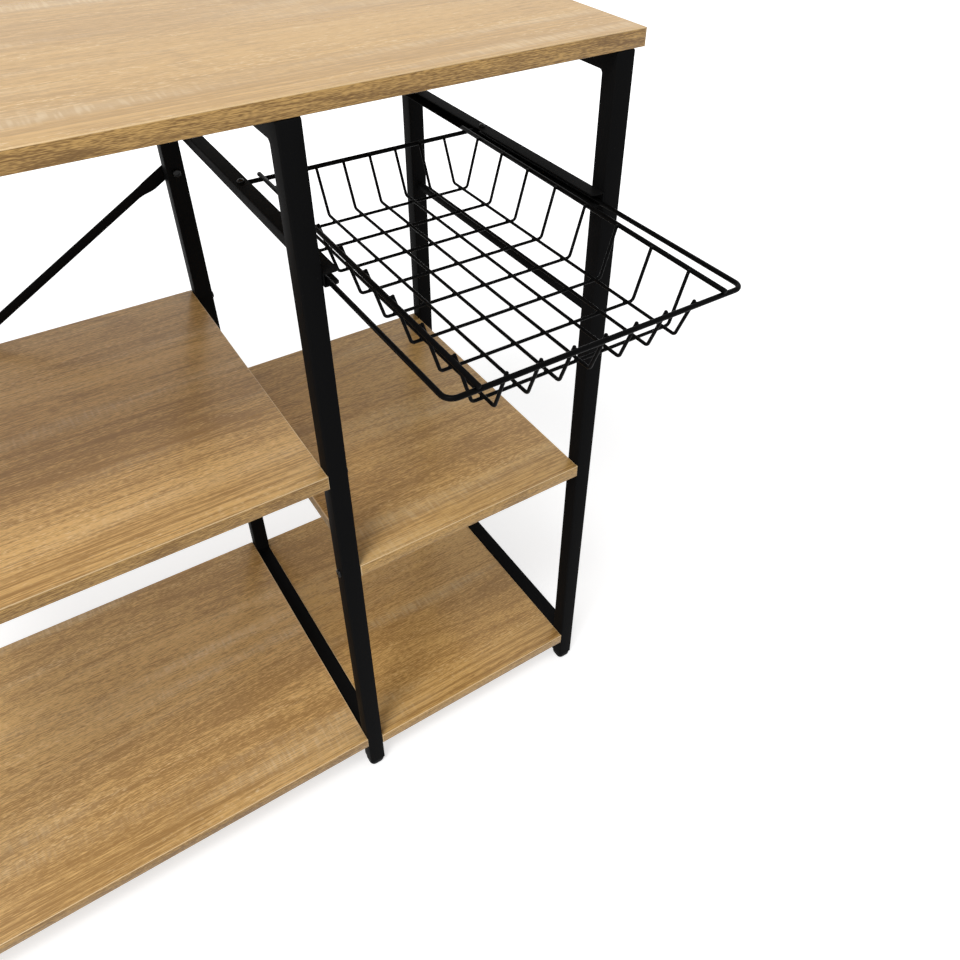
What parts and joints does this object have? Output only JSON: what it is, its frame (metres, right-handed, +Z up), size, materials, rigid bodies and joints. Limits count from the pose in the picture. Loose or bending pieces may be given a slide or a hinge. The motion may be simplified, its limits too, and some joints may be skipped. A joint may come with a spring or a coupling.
{
  "type": "kitchen rack",
  "caption": "Kitchen rack with wood boards on black tube side frames, a crossed brace, a hanging bar and a wire basket that slides out under the worktop.",
  "frame": {"origin": "on the floor, at the middle of the box around the whole rack with the basket pulled out", "axes": "+X to the right along the worktop, +Y to the back, +Z up"},
  "size_m": [0.9, 0.5962, 0.875],
  "materials": {
    "oak_board": "satin laminate",
    "oak_edge": "satin edge strip",
    "black_steel": "satin powder coat",
    "black_wire": "satin powder coat",
    "black_plastic": "matt",
    "black_screws": "black oxide"
  },
  "bodies": {
    "rack": {"base_shelf_screws": "black_screws", "basket_stop_pins": "black_screws", "brace_bolts": "black_screws", "brace_centre_screw": "black_screws", "brace_nuts": "black_screws", "falling_brace": "black_steel", "left_base_shelf": "oak_board", "left_base_shelf_edge_band": "oak_edge", "left_basket_rail": "black_steel", "left_crossbar": "black_steel", "left_frame_hoop": "black_steel", "left_front_foot": "black_plastic", "left_middle_shelf": "oak_board", "left_middle_shelf_edge_band": "oak_edge", "left_rear_foot": "black_plastic", "middle_crossbar": "black_steel", "middle_frame_hoop": "black_steel", "middle_front_foot": "black_plastic", "middle_rear_foot": "black_plastic", "right_base_shelf": "oak_board", "right_base_shelf_edge_band": "oak_edge", "right_basket_rail": "black_steel", "right_crossbar": "black_steel", "right_frame_hoop": "black_steel", "right_front_foot": "black_plastic", "right_hanging_bar": "black_steel", "right_middle_shelf": "oak_board", "right_middle_shelf_edge_band": "oak_edge", "right_rear_foot": "black_plastic", "rising_brace": "black_steel", "shelf_screws": "black_screws", "worktop": "oak_board", "worktop_edge_band": "oak_edge", "worktop_screws": "black_screws"},
    "basket": {"basket_cross_wire_1": "black_wire", "basket_cross_wire_2": "black_wire", "basket_cross_wire_3": "black_wire", "basket_cross_wire_4": "black_wire", "basket_cross_wire_5": "black_wire", "basket_cross_wire_6": "black_wire", "basket_cross_wire_7": "black_wire", "basket_cross_wire_8": "black_wire", "basket_left_inner_rod": "black_wire", "basket_long_wire_1": "black_wire", "basket_long_wire_2": "black_wire", "basket_long_wire_3": "black_wire", "basket_long_wire_4": "black_wire", "basket_long_wire_5": "black_wire", "basket_long_wire_6": "black_wire", "basket_long_wire_7": "black_wire", "basket_rear_rod": "black_wire", "basket_right_inner_rod": "black_wire", "basket_rim": "black_wire"}
  },
  "joints": [
    {"name": "basket_slide", "type": "slide", "parent": "rack", "child": "basket", "axis": [0, -1, 0], "range_m": [-0.185, 0]}
  ]
}
